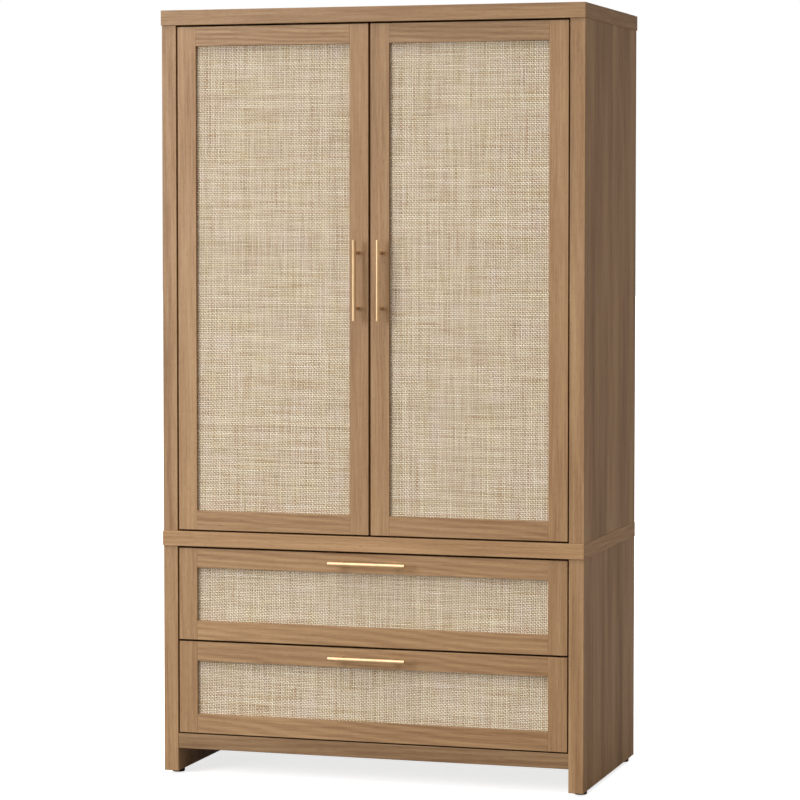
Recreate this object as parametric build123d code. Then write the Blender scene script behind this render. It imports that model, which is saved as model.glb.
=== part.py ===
from build123d import *
import os

# Free-standing armoire: two framed cane doors over two framed cane drawers.
# Millimetres. +X is to the right seen from the front, +Y runs from front to back, +Z is up.
# The origin is on the floor, under the middle of the overall box.
# Every depth is measured backwards from the front edge of the side panels.

# Overall size
HEIGHT = 1800.0
CARCASS_WIDTH = 1018.0
CARCASS_DEPTH = 525.0
BOARD = 35.0
TOP_OVERHANG_FRONT = 4.0
TOP_OVERHANG_SIDE = 1.0
TOP_OVERHANG_BACK = 5.5
EDGE_ROUND = 0.8

# Levels of the boards
MIDDLE_UNDER = 544.0
BOTTOM_UNDER = 63.5

# Back panels and their screws
BACK_THICK = 4.0
BACK_INSET = 2.0
BACK_SCREW_RADIUS = 1.5
BACK_SCREW_LENGTH = 16.0
BACK_SCREW_HEAD_RADIUS = 3.5
BACK_SCREW_HEAD = 1.0
BACK_SCREW_LEVELS = (90.0, 240.0, 390.0, 520.0, 600.0, 820.0, 1040.0, 1260.0, 1480.0, 1740.0)
BACK_SCREW_ACROSS = (-300.0, 0.0, 300.0)
BACK_SCREW_FROM_FACE = 8.75

# Feet
FOOT_HEIGHT = 9.0
FOOT_RADIUS = 15.0
FOOT_CHAMFER = 1.5
FOOT_FROM_EDGE = 47.0

# Doors and drawer fronts: a frame with a cane sheet and a backing board in its groove
FRONT_RECESS = 1.2
FRAME_THICK = 20.0
FRAME_WIDTH = 45.0
FRAME_ROUND = 0.6
CANE_SET_BACK = 7.0
CANE_THICK = 2.0
BACKING_THICK = 4.0
GROOVE_DEEP = 5.0
DOOR_GAP = 4.1
DOOR_SIDE_GAP = 3.6
DOOR_MIDDLE_GAP = 5.2
DRAWER_TOP_GAP = 4.9
DRAWER_GAP = 4.8
DRAWER_FRONT_HEIGHT = 216.2

# Handles: a round bar on two posts, each post held by a screw from inside
HANDLE_BAR_RADIUS = 5.0
HANDLE_LENGTH = 186.0
HANDLE_SPACING = 128.0
HANDLE_STAND_OFF = 28.0
HANDLE_POST_RADIUS = 4.0
HANDLE_ROUND = 0.6
DOOR_HANDLE_X = 28.5
HANDLE_SCREW_RADIUS = 2.0
HANDLE_SCREW_IN_POST = 10.0
HANDLE_SCREW_HEAD_RADIUS = 4.0
HANDLE_SCREW_HEAD = 2.5
HANDLE_SCREW_CLEARANCE = 0.3

# Concealed cup hinges, three on each door
HINGE_FROM_END = 100.0
CUP_RADIUS = 17.5
CUP_DEPTH = 11.5
CUP_WALL = 1.0
CUP_FROM_EDGE = 19.9
CUP_FLANGE_HALF_HEIGHT = 31.0
CUP_FLANGE_HALF_WIDTH = 11.0
CUP_FLANGE_THICK = 1.0
ARM_HALF_HEIGHT = 7.0
ARM_TIP_FROM_SIDE = 33.0
ARM_TIP_DEPTH = 10.7
ARM_THICK = 6.0
ARM_KNEE_BEHIND_FRAME = 12.0
ARM_ROOT_FRONT = 62.0
ARM_ROOT_BACK = 118.0
ARM_ROOT_FROM_SIDE = 6.0
PLATE_FRONT = 68.0
PLATE_BACK = 112.0
PLATE_THICK = 3.0
PLATE_HALF_HEIGHT = 16.0

# Drawer boxes
BOX_HEIGHT = 160.0
BOX_ABOVE_FRONT_FOOT = 22.0
BOX_SIDE_THICK = 15.0
BOX_DEPTH = 460.0
BOX_BOTTOM_THICK = 4.0
BOX_BOTTOM_RAISED = 10.0
BOX_GROOVE = 6.0

# Three-part ball-bearing drawer slides
SLIDE_SPACE = 13.0
SLIDE_SHEET = 1.2
SLIDE_FRONT = 25.0
SLIDE_LENGTH = 450.0
SLIDE_ABOVE_BOX_FOOT = 55.0
FIXED_RAIL_HALF_HEIGHT = 22.5
FIXED_RAIL_WIDE = 10.5
CARRIER_HALF_HEIGHT = 18.6
CARRIER_FROM_SIDE = 2.6
CARRIER_WIDE = 6.9
BOX_RAIL_HALF_HEIGHT = 15.0
BOX_RAIL_WIDE = 7.8

# Hanging rod and shelf
ROD_RADIUS = 12.5
ROD_WALL = 1.5
ROD_LEVEL = 1420.0
ROD_END_GAP = 4.5
SOCKET_WALL = 2.5
SOCKET_LENGTH = 14.0
SOCKET_FLANGE_RADIUS = 24.0
SOCKET_FLANGE = 3.0
SHELF_THICK = 18.0
SHELF_LEVEL = 1480.0
SHELF_FRONT = 40.0
SHELF_END_GAP = 1.0
SHELF_BACK_GAP = 1.0
PIN_RADIUS = 2.5
PIN_IN = 8.0
PIN_OUT = 9.0
PIN_FROM_EDGE = 50.0

# Cam fittings and dowels that hold the boards together
CAM_RADIUS = 7.5
CAM_DEPTH = 12.5
CAM_FROM_END = 34.0
CAM_BOLT_RADIUS = 3.0
CAM_BOLT_IN = 11.0
CAM_BOLT_FROM_FACE = 9.0
CAM_BOLT_BITE = 2.5
CAM_PLACES = (70.0, 455.0)
DOWEL_RADIUS = 4.0
DOWEL_HALF = 15.0
DOWEL_PLACES = (38.0, 262.0, 487.0)

# Worked out from the sizes above
OUTER_X = CARCASS_WIDTH / 2
INNER_X = OUTER_X - BOARD
TOP_UNDER = HEIGHT - BOARD
MIDDLE_TOP = MIDDLE_UNDER + BOARD
BOTTOM_TOP = BOTTOM_UNDER + BOARD
FRAME_BACK = FRONT_RECESS + FRAME_THICK
HANDLE_REACH = HANDLE_STAND_OFF + HANDLE_BAR_RADIUS - FRONT_RECESS
BACK_EDGE = CARCASS_DEPTH + TOP_OVERHANG_BACK
FRONT_Y = (HANDLE_REACH - BACK_EDGE) / 2
DOOR_LOW = MIDDLE_TOP + DOOR_GAP
DOOR_HIGH = TOP_UNDER - DOOR_GAP
DOOR_OUTER_X = INNER_X - DOOR_SIDE_GAP
DOOR_INNER_X = DOOR_MIDDLE_GAP / 2
DOOR_MIDDLE = (DOOR_LOW + DOOR_HIGH) / 2
HINGE_LEVELS = (DOOR_LOW + HINGE_FROM_END, DOOR_MIDDLE, DOOR_HIGH - HINGE_FROM_END)
UPPER_FRONT_LOW = MIDDLE_UNDER - DRAWER_TOP_GAP - DRAWER_FRONT_HEIGHT
LOWER_FRONT_LOW = UPPER_FRONT_LOW - DRAWER_GAP - DRAWER_FRONT_HEIGHT
BOX_OUTER_X = INNER_X - SLIDE_SPACE
BOX_INNER_X = BOX_OUTER_X - BOX_SIDE_THICK

LEFT = -1
RIGHT = 1


def block(x0, x1, depth0, depth1, z0, z1, rounding=0.0):
    """A straight piece between three pairs of planes, with its edges eased."""
    centre = Pos((x0 + x1) / 2, FRONT_Y + (depth0 + depth1) / 2, (z0 + z1) / 2)
    piece = Box(abs(x1 - x0), abs(depth1 - depth0), abs(z1 - z0))
    if rounding:
        piece = fillet(piece.edges(), rounding)
    return centre * piece


def round_x(x0, x1, depth, z, radius):
    """A cylinder along X."""
    turned = Rot(0, 90, 0) * Cylinder(radius, abs(x1 - x0))
    return Pos((x0 + x1) / 2, FRONT_Y + depth, z) * turned


def round_y(x, depth0, depth1, z, radius):
    """A cylinder along Y."""
    turned = Rot(90, 0, 0) * Cylinder(radius, abs(depth1 - depth0))
    return Pos(x, FRONT_Y + (depth0 + depth1) / 2, z) * turned


def round_z(x, depth, z0, z1, radius):
    """A cylinder along Z."""
    return Pos(x, FRONT_Y + depth, (z0 + z1) / 2) * Cylinder(radius, abs(z1 - z0))


def cut(piece, tools):
    """The piece with every tool taken out of it."""
    for tool in tools:
        piece = piece - tool
    return piece


# Fasteners of the carcass. Each list holds the solids, and the same solids bore the boards.


def end_joint_dowels(level):
    """Dowels that cross a joint between a side panel's end and a board above or below it."""
    x = INNER_X + BOARD / 2
    return [
        round_z(side * x, place, level - DOWEL_HALF, level + DOWEL_HALF, DOWEL_RADIUS)
        for side in (LEFT, RIGHT)
        for place in DOWEL_PLACES
    ]


def end_joint_cams(level, down):
    """Cams in the side panels' inner faces; down is -1 where the panel hangs below the joint."""
    z = level + down * CAM_FROM_END
    return [
        round_x(side * INNER_X, side * (INNER_X + CAM_DEPTH), place, z, CAM_RADIUS)
        for side in (LEFT, RIGHT)
        for place in CAM_PLACES
    ]


def end_joint_bolts(level, down):
    """Bolts that run from each of those cams into the board across the joint."""
    x = INNER_X + CAM_BOLT_FROM_FACE
    start = level + down * (CAM_FROM_END - CAM_RADIUS + CAM_BOLT_BITE)
    end = level - down * CAM_BOLT_IN
    return [
        round_z(side * x, place, start, end, CAM_BOLT_RADIUS)
        for side in (LEFT, RIGHT)
        for place in CAM_PLACES
    ]


def bottom_dowels():
    """Dowels between the bottom panel's ends and the lower sides."""
    return [
        round_x(
            side * (INNER_X - DOWEL_HALF),
            side * (INNER_X + DOWEL_HALF),
            place,
            BOTTOM_UNDER + BOARD / 2,
            DOWEL_RADIUS,
        )
        for side in (LEFT, RIGHT)
        for place in DOWEL_PLACES
    ]


def bottom_cams():
    """Cams in the underside of the bottom panel."""
    return [
        round_z(
            side * (INNER_X - CAM_FROM_END),
            place,
            BOTTOM_UNDER,
            BOTTOM_UNDER + CAM_DEPTH,
            CAM_RADIUS,
        )
        for side in (LEFT, RIGHT)
        for place in CAM_PLACES
    ]


def bottom_bolts():
    """Bolts from those cams into the lower sides."""
    return [
        round_x(
            side * (INNER_X - CAM_FROM_END + CAM_RADIUS - CAM_BOLT_BITE),
            side * (INNER_X + CAM_BOLT_IN),
            place,
            BOTTOM_UNDER + CAM_BOLT_FROM_FACE,
            CAM_BOLT_RADIUS,
        )
        for side in (LEFT, RIGHT)
        for place in CAM_PLACES
    ]


def back_screw_places():
    """Where the back panels are screwed to the side panels, the boards and the top."""
    side_x = INNER_X + BOARD / 2
    places = []
    for side in (LEFT, RIGHT):
        for z in BACK_SCREW_LEVELS:
            places.append((side * side_x, z))
    for x in BACK_SCREW_ACROSS:
        places.append((x, MIDDLE_TOP - BACK_SCREW_FROM_FACE))
        places.append((x, MIDDLE_UNDER + BACK_SCREW_FROM_FACE))
        places.append((x, BOTTOM_UNDER + BOARD / 2))
    return places


def back_screw(x, z):
    """A pan-head screw, driven from behind."""
    face = CARCASS_DEPTH + BACK_THICK
    head = round_y(x, face, face + BACK_SCREW_HEAD, z, BACK_SCREW_HEAD_RADIUS)
    shank = round_y(x, face - BACK_SCREW_LENGTH, face, z, BACK_SCREW_RADIUS)
    return head + shank


# Carcass


def top_panel(bores):
    x = OUTER_X + TOP_OVERHANG_SIDE
    board = block(-x, x, -TOP_OVERHANG_FRONT, BACK_EDGE, TOP_UNDER, HEIGHT, EDGE_ROUND)
    return cut(board, bores)


def middle_panel(bores):
    x = OUTER_X + TOP_OVERHANG_SIDE
    board = block(-x, x, -TOP_OVERHANG_FRONT, CARCASS_DEPTH, MIDDLE_UNDER, MIDDLE_TOP, EDGE_ROUND)
    return cut(board, bores)


def bottom_panel(bores):
    board = block(-INNER_X, INNER_X, FRONT_RECESS, CARCASS_DEPTH, BOTTOM_UNDER, BOTTOM_TOP, EDGE_ROUND)
    return cut(board, bores)


def side_panel(side, z0, z1, bores):
    board = block(side * INNER_X, side * OUTER_X, 0, CARCASS_DEPTH, z0, z1, EDGE_ROUND)
    return cut(board, bores)


def back_panel(z0, z1, bores):
    x = OUTER_X - BACK_INSET
    board = block(-x, x, CARCASS_DEPTH, CARCASS_DEPTH + BACK_THICK, z0, z1)
    return cut(board, bores)


def foot(side, depth):
    """A round glide under a side panel."""
    x = side * (INNER_X + BOARD / 2)
    disc = round_z(x, depth, 0, FOOT_HEIGHT, FOOT_RADIUS)
    return chamfer(disc.edges().group_by(Axis.Z)[0], FOOT_CHAMFER)


def shelf():
    x = INNER_X - SHELF_END_GAP
    back = CARCASS_DEPTH - SHELF_BACK_GAP
    return block(-x, x, SHELF_FRONT, back, SHELF_LEVEL, SHELF_LEVEL + SHELF_THICK, EDGE_ROUND)


def shelf_pins():
    pins = []
    for side in (LEFT, RIGHT):
        for depth in (SHELF_FRONT + PIN_FROM_EDGE, CARCASS_DEPTH - PIN_FROM_EDGE):
            inside = side * (INNER_X - PIN_OUT)
            outside = side * (INNER_X + PIN_IN)
            pins.append(round_x(inside, outside, depth, SHELF_LEVEL - PIN_RADIUS, PIN_RADIUS))
    return pins


def hanging_rod():
    x = INNER_X - ROD_END_GAP
    tube = round_x(-x, x, CARCASS_DEPTH / 2, ROD_LEVEL, ROD_RADIUS)
    return tube - round_x(-x, x, CARCASS_DEPTH / 2, ROD_LEVEL, ROD_RADIUS - ROD_WALL)


def rod_socket(side):
    """A flanged cup on the side panel that holds one end of the rod."""
    depth = CARCASS_DEPTH / 2
    face = side * INNER_X
    flange = round_x(face, face - side * SOCKET_FLANGE, depth, ROD_LEVEL, SOCKET_FLANGE_RADIUS)
    cup = round_x(face, face - side * SOCKET_LENGTH, depth, ROD_LEVEL, ROD_RADIUS + SOCKET_WALL)
    floor = face - side * ROD_END_GAP
    mouth = face - side * SOCKET_LENGTH
    return flange + cup - round_x(floor, mouth, depth, ROD_LEVEL, ROD_RADIUS)


# Framed cane fronts


def panel_groove(x0, x1, z0, z1):
    """The space that the cane sheet and its backing fill: the frame opening plus the groove."""
    start = FRONT_RECESS + CANE_SET_BACK
    end = start + CANE_THICK + BACKING_THICK
    reach = FRAME_WIDTH - GROOVE_DEEP
    return block(x0 + reach, x1 - reach, start, end, z0 + reach, z1 - reach)


def framed_front(x0, x1, z0, z1):
    """Two stiles, two rails with tongues in the stiles' grooves, a cane sheet and a backing."""
    start = FRONT_RECESS + CANE_SET_BACK
    end = start + CANE_THICK + BACKING_THICK
    inner_x0 = x0 + FRAME_WIDTH
    inner_x1 = x1 - FRAME_WIDTH
    groove = panel_groove(x0, x1, z0, z1)
    stiles = []
    for edge, inner in ((x0, inner_x0), (x1, inner_x1)):
        stiles.append(block(edge, inner, FRONT_RECESS, FRAME_BACK, z0, z1, FRAME_ROUND))
    rails = []
    for low in (z0, z1 - FRAME_WIDTH):
        high = low + FRAME_WIDTH
        rail = block(inner_x0, inner_x1, FRONT_RECESS, FRAME_BACK, low, high, FRAME_ROUND)
        tongue_low = low + FRAME_WIDTH / 4
        tongue_high = high - FRAME_WIDTH / 4
        tongue = block(
            inner_x0 - GROOVE_DEEP, inner_x1 + GROOVE_DEEP, start, end, tongue_low, tongue_high
        )
        stiles = [stile - tongue for stile in stiles]
        rails.append((rail + tongue) - groove)
    stiles = [stile - groove for stile in stiles]
    reach = FRAME_WIDTH - GROOVE_DEEP
    sheet = (x0 + reach, x1 - reach)
    cane = block(*sheet, start, start + CANE_THICK, z0 + reach, z1 - reach)
    backing = block(*sheet, start + CANE_THICK, end, z0 + reach, z1 - reach)
    return stiles, rails, cane, backing


def handle(x, z, upright):
    """A round bar on two posts, its middle at x and z, standing up or lying level."""
    bar_depth = FRONT_RECESS - HANDLE_STAND_OFF
    half = HANDLE_LENGTH / 2
    if upright:
        bar = round_z(x, bar_depth, z - half, z + half, HANDLE_BAR_RADIUS)
    else:
        bar = round_x(x - half, x + half, bar_depth, z, HANDLE_BAR_RADIUS)
    bar = fillet(bar.edges().filter_by(GeomType.CIRCLE), HANDLE_ROUND)
    for post_x, post_z in handle_posts(x, z, upright):
        bar = bar + round_y(post_x, bar_depth, FRONT_RECESS, post_z, HANDLE_POST_RADIUS)
        inside = FRONT_RECESS - HANDLE_SCREW_IN_POST
        bar = bar - round_y(post_x, inside, FRONT_RECESS, post_z, HANDLE_SCREW_RADIUS)
    return bar


def handle_posts(x, z, upright):
    """The middles of a handle's two posts."""
    half = HANDLE_SPACING / 2
    if upright:
        return [(x, z - half), (x, z + half)]
    return [(x - half, z), (x + half, z)]


def handle_screws(x, z, upright):
    """The screws through the frame, with their heads on its inner face."""
    screws = []
    for post_x, post_z in handle_posts(x, z, upright):
        inside = FRONT_RECESS - HANDLE_SCREW_IN_POST
        shank = round_y(post_x, inside, FRAME_BACK, post_z, HANDLE_SCREW_RADIUS)
        end = FRAME_BACK + HANDLE_SCREW_HEAD
        head = round_y(post_x, FRAME_BACK, end, post_z, HANDLE_SCREW_HEAD_RADIUS)
        screws.append(shank + head)
    return screws


def handle_holes(x, z, upright):
    """The holes that the handle's screws pass through, with a little clearance."""
    radius = HANDLE_SCREW_RADIUS + HANDLE_SCREW_CLEARANCE
    return [
        round_y(post_x, FRONT_RECESS - 1, FRAME_BACK + 1, post_z, radius)
        for post_x, post_z in handle_posts(x, z, upright)
    ]


# Doors and their hinges


def hinge_cup_space(side, z):
    """The round recess for a hinge cup in the back of a door's outer stile."""
    x = side * (DOOR_OUTER_X - CUP_FROM_EDGE)
    return round_y(x, FRAME_BACK - CUP_DEPTH, FRAME_BACK + 1, z, CUP_RADIUS)


def hinge_cup(side, z):
    """A steel cup with a flange on the back face of the stile."""
    x = side * (DOOR_OUTER_X - CUP_FROM_EDGE)
    cup = round_y(x, FRAME_BACK - CUP_DEPTH, FRAME_BACK, z, CUP_RADIUS)
    flange = block(
        x - CUP_FLANGE_HALF_WIDTH,
        x + CUP_FLANGE_HALF_WIDTH,
        FRAME_BACK,
        FRAME_BACK + CUP_FLANGE_THICK,
        z - CUP_FLANGE_HALF_HEIGHT,
        z + CUP_FLANGE_HALF_HEIGHT,
    )
    flange = fillet(flange.edges().filter_by(Axis.Y), CUP_FLANGE_HALF_WIDTH / 2)
    floor = FRAME_BACK - CUP_DEPTH + CUP_WALL
    hollow = round_y(x, floor, FRAME_BACK + CUP_FLANGE_THICK + 1, z, CUP_RADIUS - CUP_WALL)
    return cup + flange - hollow


def hinge_arm(side, z):
    """A cranked arm from the mounting plate to the mouth of the cup."""
    tip = ARM_TIP_FROM_SIDE + ARM_THICK / 2
    near = ARM_TIP_FROM_SIDE - ARM_THICK / 2
    knee = FRAME_BACK + ARM_KNEE_BEHIND_FRAME
    root_far = ARM_ROOT_FROM_SIDE + ARM_THICK
    outline = [
        (tip, ARM_TIP_DEPTH),
        (tip, knee + ARM_THICK),
        (root_far, ARM_ROOT_FRONT),
        (root_far, ARM_ROOT_BACK),
        (PLATE_THICK, ARM_ROOT_BACK),
        (PLATE_THICK, ARM_ROOT_FRONT - ARM_THICK),
        (near, knee),
        (near, ARM_TIP_DEPTH),
    ]
    points = [(side * (INNER_X - away), FRONT_Y + depth) for away, depth in outline]
    profile = make_face(Polyline(*points, close=True))
    return Pos(0, 0, z) * extrude(profile, ARM_HALF_HEIGHT, both=True)


def hinge_plate(side, z):
    """The plate between the arm and the side panel."""
    face = side * INNER_X
    away = face - side * PLATE_THICK
    low = z - PLATE_HALF_HEIGHT
    return block(face, away, PLATE_FRONT, PLATE_BACK, low, z + PLATE_HALF_HEIGHT)


def door(side, name):
    """Every piece that swings with one door."""
    edges = sorted((side * DOOR_INNER_X, side * DOOR_OUTER_X))
    stiles, rails, cane, backing = framed_front(*edges, DOOR_LOW, DOOR_HIGH)
    outer_stile, inner_stile = stiles if side == LEFT else reversed(stiles)
    bottom_rail, top_rail = rails
    handle_place = (side * DOOR_HANDLE_X, DOOR_MIDDLE, True)
    return {
        name + "_outer_stile": [cut(outer_stile, [hinge_cup_space(side, z) for z in HINGE_LEVELS])],
        name + "_inner_stile": [cut(inner_stile, handle_holes(*handle_place))],
        name + "_top_rail": [top_rail],
        name + "_bottom_rail": [bottom_rail],
        name + "_cane": [cane],
        name + "_backing": [backing],
        name + "_hinge_cups": [hinge_cup(side, z) for z in HINGE_LEVELS],
        name + "_handle": [handle(*handle_place)],
        name + "_handle_screws": handle_screws(*handle_place),
    }


# Drawers and their slides


def channel(wall_x, open_x, half_height, z):
    """A C-shaped steel rail with its web at wall_x and its mouth at open_x."""
    inward = 1 if open_x > wall_x else -1
    end = SLIDE_FRONT + SLIDE_LENGTH
    whole = block(wall_x, open_x, SLIDE_FRONT, end, z - half_height, z + half_height)
    low = z - half_height + SLIDE_SHEET
    high = z + half_height - SLIDE_SHEET
    hollow = block(wall_x + inward * SLIDE_SHEET, open_x, SLIDE_FRONT, end, low, high)
    return whole - hollow


def slide_level(front_low):
    return front_low + BOX_ABOVE_FRONT_FOOT + SLIDE_ABOVE_BOX_FOOT


def fixed_rails(front_low):
    """The slide members screwed to the lower sides."""
    z = slide_level(front_low)
    return [
        channel(side * INNER_X, side * (INNER_X - FIXED_RAIL_WIDE), FIXED_RAIL_HALF_HEIGHT, z)
        for side in (LEFT, RIGHT)
    ]


def carrier_rails(front_low):
    """The middle slide members, which travel half as far as the drawer."""
    z = slide_level(front_low)
    web = INNER_X - CARRIER_FROM_SIDE
    return [
        channel(side * web, side * (web - CARRIER_WIDE), CARRIER_HALF_HEIGHT, z)
        for side in (LEFT, RIGHT)
    ]


def box_rails(front_low):
    """The slide members screwed to the drawer box."""
    z = slide_level(front_low)
    return [
        channel(side * BOX_OUTER_X, side * (BOX_OUTER_X + BOX_RAIL_WIDE), BOX_RAIL_HALF_HEIGHT, z)
        for side in (LEFT, RIGHT)
    ]


def drawer(front_low, name):
    """Every piece that slides with one drawer."""
    front_high = front_low + DRAWER_FRONT_HEIGHT
    stiles, rails, cane, backing = framed_front(
        -DOOR_OUTER_X, DOOR_OUTER_X, front_low, front_high
    )
    bottom_rail, top_rail = rails
    handle_place = (0, front_high - FRAME_WIDTH / 2, False)
    box_low = front_low + BOX_ABOVE_FRONT_FOOT
    box_high = box_low + BOX_HEIGHT
    box_back = FRAME_BACK + BOX_DEPTH
    floor_low = box_low + BOX_BOTTOM_RAISED
    floor_high = floor_low + BOX_BOTTOM_THICK
    floor_x = BOX_INNER_X + BOX_GROOVE
    floor = block(-floor_x, floor_x, FRAME_BACK, box_back, floor_low, floor_high)
    sides = [
        block(side * BOX_INNER_X, side * BOX_OUTER_X, FRAME_BACK, box_back, box_low, box_high) - floor
        for side in (LEFT, RIGHT)
    ]
    back = block(
        -BOX_INNER_X, BOX_INNER_X, box_back - BOX_SIDE_THICK, box_back, floor_high, box_high
    )
    return {
        name + "_front_stiles": stiles,
        name + "_front_rails": [bottom_rail, cut(top_rail, handle_holes(*handle_place))],
        name + "_cane": [cane],
        name + "_backing": [backing],
        name + "_box_sides": sides,
        name + "_box_back": [back],
        name + "_box_bottom": [floor],
        name + "_handle": [handle(*handle_place)],
        name + "_handle_screws": handle_screws(*handle_place),
        name + "_box_rails": box_rails(front_low),
        name + "_carrier_rails": carrier_rails(front_low),
    }


def carcass():
    """Every piece that stands still."""
    top_dowels = end_joint_dowels(TOP_UNDER)
    above_dowels = end_joint_dowels(MIDDLE_TOP)
    below_dowels = end_joint_dowels(MIDDLE_UNDER)
    dowels = top_dowels + above_dowels + below_dowels + bottom_dowels()
    top_bolts = end_joint_bolts(TOP_UNDER, -1)
    above_bolts = end_joint_bolts(MIDDLE_TOP, 1)
    below_bolts = end_joint_bolts(MIDDLE_UNDER, -1)
    bolts = top_bolts + above_bolts + below_bolts + bottom_bolts()
    top_bores = top_dowels + top_bolts
    above_bores = above_dowels + above_bolts
    below_bores = below_dowels + below_bolts
    foot_bores = bottom_dowels() + bottom_bolts()
    upper_cams = end_joint_cams(TOP_UNDER, -1) + end_joint_cams(MIDDLE_TOP, 1)
    lower_cams = end_joint_cams(MIDDLE_UNDER, -1)
    under_cams = bottom_cams()
    screws = [back_screw(x, z) for x, z in back_screw_places()]
    pins = shelf_pins()
    seam = (MIDDLE_UNDER + MIDDLE_TOP) / 2
    upper_bores = top_bores + above_bores + upper_cams + pins + screws
    lower_bores = below_bores + foot_bores + lower_cams + screws
    feet = [
        foot(side, depth)
        for side in (LEFT, RIGHT)
        for depth in (FOOT_FROM_EDGE, CARCASS_DEPTH - FOOT_FROM_EDGE)
    ]
    pieces = {
        "top_panel": [top_panel(top_bores)],
        "middle_panel": [middle_panel(above_bores + below_bores + screws)],
        "bottom_panel": [bottom_panel(foot_bores + under_cams + screws)],
        "upper_back_panel": [back_panel(seam, TOP_UNDER, screws)],
        "lower_back_panel": [back_panel(BOTTOM_UNDER, seam, screws)],
        "back_screws": screws,
        "feet": feet,
        "shelf": [shelf()],
        "shelf_pins": pins,
        "hanging_rod": [hanging_rod()],
        "rod_sockets": [rod_socket(side) for side in (LEFT, RIGHT)],
        "cam_locks": [cut(cam, bolts) for cam in upper_cams + lower_cams + under_cams],
        "cam_bolts": bolts,
        "dowels": dowels,
        "hinge_arms_and_plates": [
            piece(side, z)
            for side in (LEFT, RIGHT)
            for z in HINGE_LEVELS
            for piece in (hinge_arm, hinge_plate)
        ],
        "fixed_rails": fixed_rails(UPPER_FRONT_LOW) + fixed_rails(LOWER_FRONT_LOW),
    }
    for side, word in ((LEFT, "left"), (RIGHT, "right")):
        pieces["upper_side_" + word] = [side_panel(side, MIDDLE_TOP, TOP_UNDER, upper_bores)]
        pieces["lower_side_" + word] = [side_panel(side, FOOT_HEIGHT, MIDDLE_UNDER, lower_bores)]
    return pieces


def save(name, pieces):
    """Write one node: one solid, or a group of separate solids."""
    solids = [solid for piece in pieces for solid in piece.solids()]
    shape = solids[0] if len(solids) == 1 else Compound(solids)
    export_step(shape, "parts/" + name + ".step")


def main():
    os.makedirs("parts", exist_ok=True)
    nodes = carcass()
    nodes.update(door(LEFT, "left_door"))
    nodes.update(door(RIGHT, "right_door"))
    nodes.update(drawer(UPPER_FRONT_LOW, "upper_drawer"))
    nodes.update(drawer(LOWER_FRONT_LOW, "lower_drawer"))
    for name, pieces in nodes.items():
        save(name, pieces)
    print("nodes", len(nodes))
    print("front edge of the sides at y", FRONT_Y)


main()
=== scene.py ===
"""Armoire: materials, woven cane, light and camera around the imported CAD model. Metres."""

import math
import random

import bpy
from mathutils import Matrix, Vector


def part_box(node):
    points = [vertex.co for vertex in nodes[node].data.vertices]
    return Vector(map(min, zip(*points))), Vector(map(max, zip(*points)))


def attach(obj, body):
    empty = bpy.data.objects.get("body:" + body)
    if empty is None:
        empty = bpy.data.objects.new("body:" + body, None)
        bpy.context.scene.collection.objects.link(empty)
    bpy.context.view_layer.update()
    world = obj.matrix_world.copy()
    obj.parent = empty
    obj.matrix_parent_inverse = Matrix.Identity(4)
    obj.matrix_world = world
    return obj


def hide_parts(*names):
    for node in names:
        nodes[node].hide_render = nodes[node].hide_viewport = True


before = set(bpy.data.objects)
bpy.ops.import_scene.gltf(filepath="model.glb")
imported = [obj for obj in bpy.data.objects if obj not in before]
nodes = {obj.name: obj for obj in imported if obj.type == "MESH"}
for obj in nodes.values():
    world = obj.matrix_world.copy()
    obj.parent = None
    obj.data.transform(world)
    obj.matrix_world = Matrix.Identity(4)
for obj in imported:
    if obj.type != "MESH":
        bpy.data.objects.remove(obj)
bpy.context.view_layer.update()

X, Y, Z = 0, 1, 2


# Shader building


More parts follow.
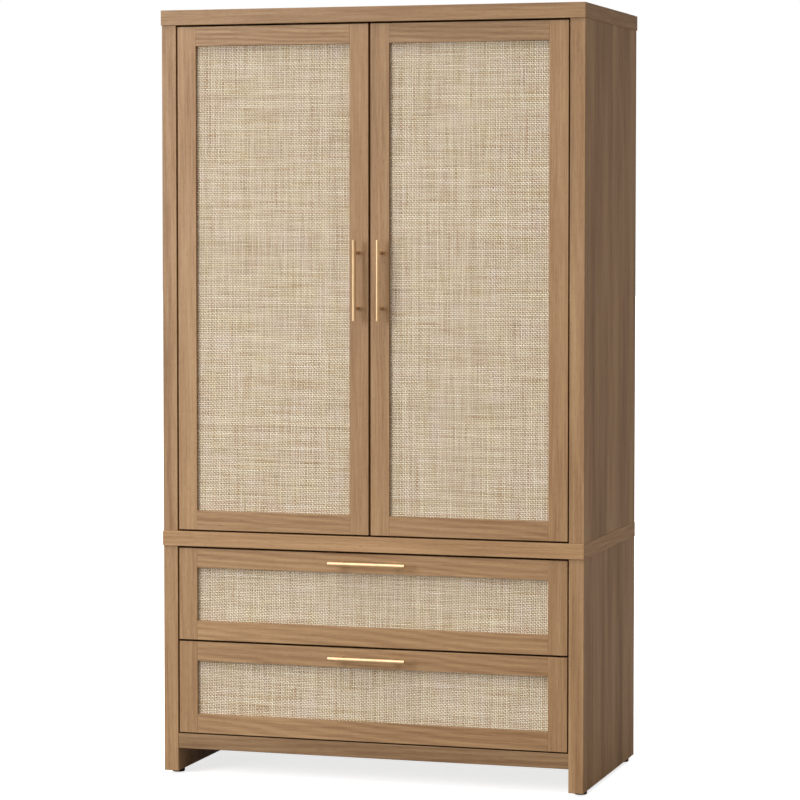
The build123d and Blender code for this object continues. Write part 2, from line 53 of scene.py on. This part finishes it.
class Shader:
    """A material with a Principled surface, and short ways to add and join its nodes."""

    def __init__(self, name, roughness=0.5, metallic=0.0, specular=0.5):
        self.material = bpy.data.materials.new(name)
        self.material.use_nodes = True
        self.tree = self.material.node_tree
        self.surface = self.tree.nodes["Principled BSDF"]
        self.surface.inputs["Roughness"].default_value = roughness
        self.surface.inputs["Metallic"].default_value = metallic
        self.surface.inputs["Specular IOR Level"].default_value = specular

    def join(self, source, socket):
        """Link a node's output to a socket, or set the socket to a plain value."""
        if isinstance(source, bpy.types.NodeSocket):
            self.tree.links.new(source, socket)
        else:
            socket.default_value = source

    def place(self):
        """The point on the surface, in the piece's own coordinates, metres."""
        return self.tree.nodes.new("ShaderNodeTexCoord").outputs["Object"]

    def facing(self, axis):
        """1 where the surface faces along an axis of the piece, 0 elsewhere."""
        normal = self.tree.nodes.new("ShaderNodeTexCoord").outputs["Normal"]
        return self.maths("GREATER_THAN", self.maths("ABSOLUTE", self.parts_of(normal)[axis]), 0.8)

    def weighted(self, *pairs):
        """0.5 plus each (source, weight) pair's swing about 0.5."""
        total = 0.5
        for source, weight in pairs:
            swing = self.maths("MULTIPLY", self.maths("SUBTRACT", source, 0.5), weight)
            total = self.maths("ADD", swing, total)
        return total

    def maths(self, operation, *values):
        node = self.tree.nodes.new("ShaderNodeMath")
        node.operation = operation
        for socket, value in zip(node.inputs, values):
            self.join(value, socket)
        return node.outputs[0]

    def vector(self, operation, *values):
        node = self.tree.nodes.new("ShaderNodeVectorMath")
        node.operation = operation
        for socket, value in zip(node.inputs, values):
            self.join(value, socket)
        return node.outputs[0]

    def parts_of(self, vector):
        node = self.tree.nodes.new("ShaderNodeSeparateXYZ")
        self.join(vector, node.inputs[0])
        return node.outputs

    def made_of(self, x, y, z):
        node = self.tree.nodes.new("ShaderNodeCombineXYZ")
        for socket, value in zip(node.inputs, (x, y, z)):
            self.join(value, socket)
        return node.outputs[0]

    def noise(self, vector, detail, rough):
        node = self.tree.nodes.new("ShaderNodeTexNoise")
        self.join(vector, node.inputs["Vector"])
        node.inputs["Scale"].default_value = 1.0
        node.inputs["Detail"].default_value = detail
        node.inputs["Roughness"].default_value = rough
        return node.outputs["Fac"]

    def speckle(self, waves, detail, rough):
        """A noise with so many waves per metre in every direction, or one number per axis."""
        scale = waves if isinstance(waves, tuple) else (waves,) * 3
        return self.noise(self.vector("MULTIPLY", self.place(), scale), detail, rough)

    def ramp(self, factor, *stops):
        """A colour ramp through (place, colour) stops."""
        node = self.tree.nodes.new("ShaderNodeValToRGB")
        self.join(factor, node.inputs["Fac"])
        elements = node.color_ramp.elements
        while len(elements) < len(stops):
            elements.new(0.5)
        for element, (position, colour) in zip(elements, stops):
            element.position = position
            element.color = (*colour, 1.0)
        return node.outputs["Color"]

    def mix(self, factor, a, b, blend="MIX"):
        node = self.tree.nodes.new("ShaderNodeMix")
        node.data_type = "RGBA"
        node.blend_type = blend
        self.join(factor, node.inputs["Factor"])
        sockets = [s for s in node.inputs if s.type == "RGBA"]
        for colour, socket in zip((a, b), sockets):
            if isinstance(colour, bpy.types.NodeSocket):
                self.tree.links.new(colour, socket)
            else:
                socket.default_value = (*colour, 1.0)
        return [s for s in node.outputs if s.type == "RGBA"][0]

    def span(self, value, low, high, out_low=0.0, out_high=1.0):
        """Map a value's range onto another, held at both ends."""
        node = self.tree.nodes.new("ShaderNodeMapRange")
        for name, number in (
            ("From Min", low),
            ("From Max", high),
            ("To Min", out_low),
            ("To Max", out_high),
        ):
            node.inputs[name].default_value = number
        self.join(value, node.inputs["Value"])
        return node.outputs["Result"]

    def colour(self, value):
        self.join(value, self.surface.inputs["Base Color"])

    def roughness(self, value):
        self.join(value, self.surface.inputs["Roughness"])

    def bump(self, height, strength, distance):
        node = self.tree.nodes.new("ShaderNodeBump")
        node.inputs["Strength"].default_value = strength
        node.inputs["Distance"].default_value = distance
        self.join(height, node.inputs["Height"])
        self.join(node.outputs["Normal"], self.surface.inputs["Normal"])


def srgb(red, green, blue):
    """A linear colour from 0 to 255 display values."""
    return tuple(
        c / 12.92 if c <= 0.04045 else ((c + 0.055) / 1.055) ** 2.4
        for c in (red / 255, green / 255, blue / 255)
    )


# Wood


WOOD_DARK = srgb(134, 98, 61)
WOOD_MIDDLE = srgb(157, 121, 82)
WOOD_LIGHT = srgb(174, 139, 98)
WOOD_PORE = srgb(104, 74, 46)

# Noises drawn out along the grain: waves per metre across it and along it, detail, roughness, and
# the step from the board's seed.
WIDE_BANDS = (11.0, 0.7, 2.0, 0.5, 5)
BROAD_STREAKS = (40.0, 1.8, 1.0, 0.5, 0)
FINE_STREAKS = (230.0, 6.0, 4.0, 0.65, 1)
FIBRES = (900.0, 26.0, 2.0, 0.6, 2)
PORES = (1300.0, 60.0, 1.0, 0.5, 4)
RING_WANDER = (11.0, 2.6, 2.0, 0.5, 3)
PLAIN_STREAKS = (25.0, 1.5, 4.0, 0.6, 0)
PLAIN_FIBRES = (700.0, 20.0, 3.0, 0.6, 1)

BROAD_WEIGHT = 0.24
STREAK_WEIGHT = 0.50
FIBRE_WEIGHT = 0.26
RING_WEIGHT = 0.16
PORE_DEEP = 1.6
END_LINE = 0.0009
END_LINE_DARK = 0.75

RING_LEAN = 0.055
RING_SHIFT = (0.017, 0.011)
RING_WAVER = 0.02
RING_TURN_WAVER = 9.0


def drawn_out(shader, point, grain, kind, seed):
    """One of the noises above, read at a point."""
    across, along, detail, rough, step = kind
    scale = [across] * 3
    scale[grain] = along
    start = seed + step
    moved = shader.vector("MULTIPLY", point, tuple(scale))
    moved = shader.vector("ADD", moved, (start * 7.31, start * 3.17, start * 5.93))
    return shader.noise(moved, detail, rough)


def shaded(colour, tone):
    return tuple(channel * tone for channel in colour)


def wood(name, grain, seed, figure=0.5, tone=1.0, spacing=0.012, bands=0.2, ends=None):
    """Oak veneer along the grain axis; the edge bands on a board's ends run across it.

    figure is how much of the ring pattern shows and spacing is between its rings. bands is how
    much the wide bands show. ends are two places along the grain where the board meets another.
    """
    shader = Shader(name)
    dark, middle, light, pore = [
        shaded(colour, tone) for colour in (WOOD_DARK, WOOD_MIDDLE, WOOD_LIGHT, WOOD_PORE)
    ]
    point = turned_at_ends(shader, grain)
    streaks = drawn_out(shader, point, grain, FINE_STREAKS, seed)
    fibres = drawn_out(shader, point, grain, FIBRES, seed)
    mixed = shader.weighted(
        (drawn_out(shader, point, grain, WIDE_BANDS, seed), bands),
        (drawn_out(shader, point, grain, BROAD_STREAKS, seed), BROAD_WEIGHT),
        (streaks, STREAK_WEIGHT),
        (fibres, FIBRE_WEIGHT),
        (ring_figure(shader, point, grain, seed, spacing), RING_WEIGHT * figure),
    )
    colour = shader.ramp(mixed, (0.34, dark), (0.50, middle), (0.66, light))
    pores = drawn_out(shader, point, grain, PORES, seed)
    pore_mask = shader.span(pores, 0.60, 0.72, 0.0, 0.45)
    colour = shader.mix(pore_mask, colour, pore)
    if ends:
        colour = shader.mix(end_lines(shader, grain, ends), colour, pore)
    shader.colour(colour)
    shader.roughness(shader.span(streaks, 0.3, 0.7, 0.56, 0.44))
    height = shader.maths("SUBTRACT", fibres, shader.maths("MULTIPLY", pore_mask, PORE_DEEP))
    shader.bump(height, 0.35, 0.0004)
    return shader.material


def turned_at_ends(shader, grain):
    """The point, with the grain axis swapped for another on the faces at the board's ends."""
    point = shader.place()
    parts = list(shader.parts_of(point))
    other = Y if grain == X else X
    parts[grain], parts[other] = parts[other], parts[grain]
    end = shader.facing(grain)
    swap = shader.vector("SUBTRACT", shader.made_of(*parts), point)
    swap = shader.vector("MULTIPLY", swap, shader.made_of(end, end, end))
    return shader.vector("ADD", point, swap)


def end_lines(shader, grain, ends):
    """Thin lines where a rail's two ends meet the stiles."""
    along = shader.parts_of(shader.place())[grain]
    masks = []
    for place in ends:
        gap = shader.maths("ABSOLUTE", shader.maths("SUBTRACT", along, place))
        masks.append(shader.span(gap, END_LINE * 0.5, END_LINE * 1.5, END_LINE_DARK, 0.0))
    return shader.maths("MAXIMUM", *masks)


def ring_figure(shader, point, grain, seed, spacing):
    """Growth rings about an axis that leans out of the board, so that they draw out into arches."""
    wander = drawn_out(shader, point, grain, RING_WANDER, seed)
    parts = shader.parts_of(point)
    first, second = [parts[axis] for axis in (X, Y, Z) if axis != grain]
    drift = shader.maths("MULTIPLY", parts[grain], RING_LEAN)
    first = shader.maths("ADD", first, shader.maths("ADD", drift, seed * RING_SHIFT[0]))
    first = shader.maths("ADD", first, shader.maths("MULTIPLY", wander, RING_WAVER))
    second = shader.maths("ADD", second, seed * RING_SHIFT[1])
    first_square = shader.maths("MULTIPLY", first, first)
    second_square = shader.maths("MULTIPLY", second, second)
    radius = shader.maths("SQRT", shader.maths("ADD", first_square, second_square))
    turn = shader.maths("MULTIPLY", radius, 2 * math.pi / spacing)
    turn = shader.maths("ADD", turn, shader.maths("MULTIPLY", wander, RING_TURN_WAVER))
    return shader.span(shader.maths("SINE", turn), -1.0, 1.0)


def plain_wood(name, grain, seed, dark, light, rough=0.7):
    """Unfinished timber or board, with soft streaks along the grain."""
    shader = Shader(name, roughness=rough, specular=0.25)
    point = shader.place()
    streaks = drawn_out(shader, point, grain, PLAIN_STREAKS, seed)
    fibres = drawn_out(shader, point, grain, PLAIN_FIBRES, seed)
    mixed = shader.weighted((streaks, 0.6), (fibres, 0.4))
    shader.colour(shader.ramp(mixed, (0.35, dark), (0.65, light)))
    shader.roughness(shader.span(fibres, 0.3, 0.7, rough + 0.08, rough - 0.06))
    shader.bump(fibres, 0.3, 0.0003)
    return shader.material


# Cane


CANE_BROWN = srgb(177, 145, 113)
CANE_TAN = srgb(212, 192, 166)
CANE_STRAW = srgb(229, 215, 194)
CANE_CREAM = srgb(246, 237, 223)
CANE_ROSE = (1.0, 0.97, 0.97)
CANE_YELLOW = (1.0, 0.99, 0.88)

LANE_STEP = 5.37
BUNDLE_STEP = 0.11
SHADE_WAVES = 9.0
DRIFT_WAVES = 2.0
CANE_FIBRE_WAVES = 2600.0

DOOR_PITCH = {X: 0.00399, Z: 0.00430}
DRAWER_PITCH = {X: 0.00433, Z: 0.00397}
STRAND_SHARE = 0.72
STRAND_DEPTH = 0.10
STRAND_CORNERS = ((-1.0, 0.0), (0.0, -1.0), (1.0, 0.0), (0.0, 1.0))
WIDTH_SPREAD = 0.16
CENTRE_SPREAD = 0.05
WOBBLE = 0.04


def cane(name, pitch, across, along, origin, seed):
    """Strands of split cane: each strand has its own shade, which drifts along its length."""
    shader = Shader(name, roughness=0.6, specular=0.3)
    parts = shader.parts_of(shader.place())
    number = shader.maths("DIVIDE", shader.maths("SUBTRACT", parts[across], origin), pitch)
    lane = shader.maths("MULTIPLY", shader.maths("FLOOR", number), LANE_STEP)
    run = shader.maths("MULTIPLY", parts[along], SHADE_WAVES)
    slow_run = shader.maths("MULTIPLY", parts[along], DRIFT_WAVES)
    shade = shader.noise(shader.made_of(lane, run, seed), 2.0, 0.6)
    drift = shader.noise(shader.made_of(lane, slow_run, seed + 4.0), 1.0, 0.5)
    fibres = shader.speckle(CANE_FIBRE_WAVES, 2.0, 0.6)
    colour = shader.ramp(
        shader.weighted((shade, 0.62), (drift, 0.35), (fibres, 0.10)),
        (0.28, CANE_BROWN),
        (0.42, CANE_TAN),
        (0.54, CANE_STRAW),
        (0.72, CANE_CREAM),
    )
    bundle = shader.made_of(shader.maths("MULTIPLY", number, BUNDLE_STEP), run, seed + 9.0)
    cast = shader.ramp(shader.noise(bundle, 1.0, 0.5), (0.35, CANE_ROSE), (0.65, CANE_YELLOW))
    shader.colour(shader.mix(1.0, colour, cast, "MULTIPLY"))
    shader.roughness(shader.span(shade, 0.3, 0.7, 0.68, 0.5))
    shader.bump(fibres, 0.2, 0.0002)
    return shader.material


def lanes(node, axis, pitch):
    """How many strands of a pitch fit side by side along an axis, and where they start."""
    low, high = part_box(node)
    count = int((high[axis] - low[axis]) / pitch)
    return count, (low[axis] + high[axis] - count * pitch) / 2


def tube_faces(start, ring_count):
    """The faces of a closed tube whose rings of four points begin at a point number."""
    corners = len(STRAND_CORNERS)
    faces = []
    for base in range(start, start + (ring_count - 1) * corners, corners):
        for corner in range(corners):
            after = (corner + 1) % corners
            beyond = base + corners
            faces.append((base + corner, base + after, beyond + after, beyond + corner))
    end = start + (ring_count - 1) * corners
    faces.append(tuple(range(start, start + corners)))
    faces.append(tuple(reversed(range(end, end + corners))))
    return faces


def strands(name, node, across, along, pitches, draw):
    """The mesh of one set of parallel strands, each crossing over and under the other set.

    Every strand is a flattened, closed tube with four corners and one ring at each crossing.
    """
    low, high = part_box(node)
    pitch = pitches[across]
    middle = (low[Y] + high[Y]) / 2
    depth = (high[Y] - low[Y]) * STRAND_DEPTH
    lane_count, lane_start = lanes(node, across, pitch)
    ring_count, ring_start = lanes(node, along, pitches[along])
    points = []
    faces = []
    over = 1 if across == X else -1
    for lane in range(lane_count):
        faces += tube_faces(len(points), ring_count)
        width = pitch * STRAND_SHARE * draw.uniform(1 - WIDTH_SPREAD, 1 + WIDTH_SPREAD)
        centre = lane_start + (lane + 0.5 + draw.uniform(-CENTRE_SPREAD, CENTRE_SPREAD)) * pitch
        for ring in range(ring_count):
            side = over * (1 if (lane + ring) % 2 else -1)
            wobble = draw.uniform(-WOBBLE, WOBBLE) * pitch
            for corner_across, corner_deep in STRAND_CORNERS:
                point = [0.0, 0.0, 0.0]
                point[across] = centre + wobble + corner_across * width / 2
                point[along] = ring_start + (ring + 0.5) * pitches[along]
                point[Y] = middle + (side + corner_deep) * depth
                points.append(point)
    mesh = bpy.data.meshes.new(name)
    mesh.from_pydata(points, [], faces)
    mesh.validate()
    mesh.shade_smooth()
    return mesh


def weave(node, body, pitches, seed):
    """The upright and the level strands of one cane panel."""
    draw = random.Random(seed)
    for across, along, word in ((X, Z, "upright"), (Z, X, "level")):
        name = node + "_" + word + "_strands"
        mesh = strands(name, node, across, along, pitches, draw)
        origin = lanes(node, across, pitches[across])[1]
        mesh.materials.append(cane(name, pitches[across], across, along, origin, seed + across))
        piece = bpy.data.objects.new(name, mesh)
        bpy.context.scene.collection.objects.link(piece)
        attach(piece, body)
        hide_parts(node)


# Metal and plastic


def brass(name):
    """Satin brass with fine turning marks."""
    shader = Shader(name, metallic=1.0)
    marks = shader.speckle(900.0, 3.0, 0.7)
    cloud = shader.speckle(25.0, 2.0, 0.5)
    shader.colour(shader.ramp(cloud, (0.3, srgb(208, 176, 136)), (0.7, srgb(224, 194, 154))))
    shader.roughness(shader.span(marks, 0.3, 0.7, 0.44, 0.56))
    shader.bump(marks, 0.05, 0.0001)
    return shader.material


def steel(name, dark=150, light=190, rough=0.35):
    """Plated or polished metal, grey between two display values."""
    shader = Shader(name, roughness=rough, metallic=1.0)
    cloud = shader.speckle(60.0, 3.0, 0.6)
    grain = shader.speckle((1500.0, 200.0, 1500.0), 3.0, 0.6)
    dark_grey = srgb(dark, dark, dark + 2)
    light_grey = srgb(light, light, light + 4)
    shader.colour(shader.ramp(cloud, (0.3, dark_grey), (0.7, light_grey)))
    shader.roughness(shader.span(grain, 0.3, 0.7, rough - 0.06, rough + 0.1))
    shader.bump(grain, 0.06, 0.0001)
    return shader.material


def black_plastic(name):
    """Moulded plastic with a fine grain."""
    shader = Shader(name, roughness=0.55, specular=0.4)
    grain = shader.speckle(1200.0, 3.0, 0.6)
    shader.colour(shader.ramp(grain, (0.3, srgb(18, 17, 16)), (0.7, srgb(38, 36, 34))))
    shader.roughness(shader.span(grain, 0.3, 0.7, 0.48, 0.66))
    shader.bump(grain, 0.15, 0.0002)
    return shader.material


# Dressing the CAD nodes


# Painted shade: the cane backing is coloured near black to stand for the shade behind the weave
# that shows through its holes.
backing_painted_shade_material = plain_wood("cane_backing_painted_shade", Z, 51, srgb(44, 31, 20), srgb(60, 44, 31))
brass_material = brass("satin_brass")
screw_material = steel("screw_steel")
box_material = plain_wood("drawer_box_wood", X, 61, srgb(196, 166, 124), srgb(222, 196, 156))

# How light the wood of a door's or drawer front's piece is, where it isn't 1.
TONES = {
    # Painted sheen: the left door's outer stile is made lighter for the sheen of the light from the
    # left.
    "left_door_outer_stile": 1.07,
    "right_door_outer_stile": 1.07,
    "right_door_top_rail": 0.90,
    "upper_drawer_front_rails": 1.06,
}


def dress(node, material):
    """Give a CAD node its finished material."""
    slots = nodes[node].material_slots
    if not slots:
        nodes[node].data.materials.append(material)
    for entry in slots:
        entry.material = material


def dress_carcass():
    dress("top_panel", wood("wood_top_panel", X, 3, figure=0.2, tone=0.97))
    dress("middle_panel", wood("wood_middle_panel", X, 5, figure=0.3, tone=1.16))
    # Painted shade: the bottom board's wood is darkened (tone 0.77) for the shade that falls on it
    # below the drawer fronts.
    dress("bottom_panel", wood("wood_bottom_panel_painted_shade", X, 8, figure=0.6, tone=0.77))
    dress("shelf", wood("wood_shelf", X, 11))
    sides = ("upper_side_left", "upper_side_right", "lower_side_left", "lower_side_right")
    for number, node in enumerate(sides):
        seed = 21 + 4 * number
        dress(node, wood("wood_" + node, Z, seed, figure=0.3, spacing=0.03, bands=1.1))
    board = plain_wood("hardboard", Z, 41, srgb(150, 118, 84), srgb(178, 146, 108), 0.75)
    dress("upper_back_panel", board)
    dress("lower_back_panel", board)
    dress("dowels", plain_wood("beech", Z, 43, srgb(196, 160, 116), srgb(220, 188, 146)))
    metal = steel("zinc_plated_steel")
    for node in ("cam_bolts", "back_screws", "shelf_pins", "hinge_arms_and_plates", "fixed_rails"):
        dress(node, metal)
    chrome = steel("polished_rod", 180, 215, 0.2)
    dress("hanging_rod", chrome)
    dress("rod_sockets", chrome)
    dress("cam_locks", steel("cast_zinc", 120, 150, 0.5))
    dress("feet", black_plastic("foot_plastic"))


def dress_front(body, uprights, levels, seed):
    """A framed front's wood, cane backing painted near black as shade behind the weave, handle and
    screws.
    """
    for number, node in enumerate(uprights):
        tone = TONES.get(node, 1.0)
        stile_seed = seed + 5 * number
        dress(node, wood("wood_" + node, Z, stile_seed, figure=0.2, tone=tone, spacing=0.016))
    for number, node in enumerate(levels):
        ends = [corner[X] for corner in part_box(node)]
        tone = TONES.get(node, 1.0)
        rail_seed = seed + 31 + 5 * number
        material = wood(
            "wood_" + node, X, rail_seed, figure=0.8, tone=tone, spacing=0.010, ends=ends
        )
        dress(node, material)
    dress(body + "_backing", backing_painted_shade_material)
    dress(body + "_handle", brass_material)
    dress(body + "_handle_screws", screw_material)


def dress_doors():
    for number, body in enumerate(("left_door", "right_door")):
        uprights = [body + "_outer_stile", body + "_inner_stile"]
        levels = [body + "_top_rail", body + "_bottom_rail"]
        dress_front(body, uprights, levels, 71 + 40 * number)
        dress(body + "_hinge_cups", screw_material)
        weave(body + "_cane", body, DOOR_PITCH, 5 + 10 * number)


def dress_drawers():
    for number, body in enumerate(("upper_drawer", "lower_drawer")):
        dress_front(body, [body + "_front_stiles"], [body + "_front_rails"], 151 + 40 * number)
        for part in ("_box_sides", "_box_back", "_box_bottom"):
            dress(body + part, box_material)
        dress(body + "_box_rails", screw_material)
        dress(body + "_carrier_rails", screw_material)
        weave(body + "_cane", body, DRAWER_PITCH, 25 + 10 * number)


# Floor, light and camera


FLOOR_REACH = 40.0
FLOOR_BOUNCE = (0.32, 0.29, 0.26)
FLOOR_PALE = (0.86, 0.86, 0.86)
FLOOR_PALER = (0.9, 0.9, 0.9)
FLOOR_GLOW = 0.75
WHITE = (1.0, 1.0, 1.0)

CAMERA_LENS = 136.04
CAMERA_SHIFT = -0.045
CAMERA_ACROSS = 2.1002
CAMERA_BEFORE_FRONT = 6.632
CAMERA_HEIGHT = 1.3303
CAMERA_DOWN_DEGREES = 2.886
CAMERA_TURN_RADIANS = 0.29651


def make_floor():
    """A pale floor. The camera sees it paler than the light that it throws back onto the object."""
    mesh = bpy.data.meshes.new("floor")
    corners = [(-1, -1), (1, -1), (1, 1), (-1, 1)]
    points = [(x * FLOOR_REACH, y * FLOOR_REACH, 0) for x, y in corners]
    mesh.from_pydata(points, [], [(0, 1, 2, 3)])
    floor = bpy.data.objects.new("floor", mesh)
    bpy.context.scene.collection.objects.link(floor)
    shader = Shader("pale_floor", roughness=0.9, specular=0.1)
    seen = shader.tree.nodes.new("ShaderNodeLightPath").outputs["Is Camera Ray"]
    pale = shader.ramp(shader.speckle(40.0, 3.0, 0.6), (0.3, FLOOR_PALE), (0.7, FLOOR_PALER))
    shader.colour(shader.mix(seen, FLOOR_BOUNCE, pale))
    glow = shader.maths("MULTIPLY", seen, FLOOR_GLOW)
    shader.surface.inputs["Emission Color"].default_value = (*WHITE, 1.0)
    shader.join(glow, shader.surface.inputs["Emission Strength"])
    mesh.materials.append(shader.material)


def area_light(name, place, target, size, power, tint=WHITE):
    data = bpy.data.lights.new(name, "AREA")
    data.shape = "RECTANGLE"
    data.size, data.size_y = size
    data.energy = power
    data.color = tint
    light = bpy.data.objects.new(name, data)
    light.location = place
    light.rotation_euler = (Vector(target) - Vector(place)).to_track_quat("-Z", "Y").to_euler()
    bpy.context.scene.collection.objects.link(light)


def overhead_sun(strength, spread, tilt):
    """A soft sun from above; spread and the tilt about X and Y are in degrees."""
    data = bpy.data.lights.new("overhead", "SUN")
    data.energy = strength
    data.angle = math.radians(spread)
    light = bpy.data.objects.new("overhead", data)
    light.rotation_euler = (math.radians(tilt[0]), math.radians(tilt[1]), 0)
    bpy.context.scene.collection.objects.link(light)


def make_world(seen, lit):
    """A plain pale surround: one strength for the picture's background, one for its light."""
    world = bpy.data.worlds.new("studio")
    world.use_nodes = True
    tree = world.node_tree
    background = tree.nodes["Background"]
    background.inputs["Color"].default_value = (*WHITE, 1.0)
    path = tree.nodes.new("ShaderNodeLightPath")
    choice = tree.nodes.new("ShaderNodeMapRange")
    tree.links.new(path.outputs["Is Camera Ray"], choice.inputs["Value"])
    choice.inputs["To Min"].default_value = lit
    choice.inputs["To Max"].default_value = seen
    tree.links.new(choice.outputs["Result"], background.inputs["Strength"])
    bpy.context.scene.world = world


def make_camera():
    """Almost level, from the front right; the small shift keeps upright edges nearly parallel."""
    data = bpy.data.cameras.new("camera")
    data.lens = CAMERA_LENS
    data.sensor_width = 36.0
    data.shift_y = CAMERA_SHIFT
    data.clip_end = 200.0
    camera = bpy.data.objects.new("camera", data)
    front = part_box("upper_side_right")[0][Y]
    camera.location = (CAMERA_ACROSS, front - CAMERA_BEFORE_FRONT, CAMERA_HEIGHT)
    camera.rotation_euler = (math.radians(90 - CAMERA_DOWN_DEGREES), 0.0, CAMERA_TURN_RADIANS)
    bpy.context.scene.collection.objects.link(camera)
    bpy.context.scene.camera = camera


def make_light():
    area_light("key", (-3.1, -4.6, 2.1), (0.0, -0.25, 0.9), (2.4, 3.0), 182.0)
    area_light("fill", (5.0, -0.6, 1.4), (0.5, 0.0, 0.9), (3.0, 3.0), 24.0, (1.0, 0.82, 0.68))
    area_light("back", (0.0, 5.0, 1.6), (0.0, 0.25, 0.9), (1.0, 2.5), 80.0)
    overhead_sun(2.6, 50.0, (18, -14))
    make_world(1.0, 0.27)


make_camera()
dress_carcass()
dress_doors()
dress_drawers()
make_floor()
make_light()
bpy.context.scene.view_settings.view_transform = "Standard"
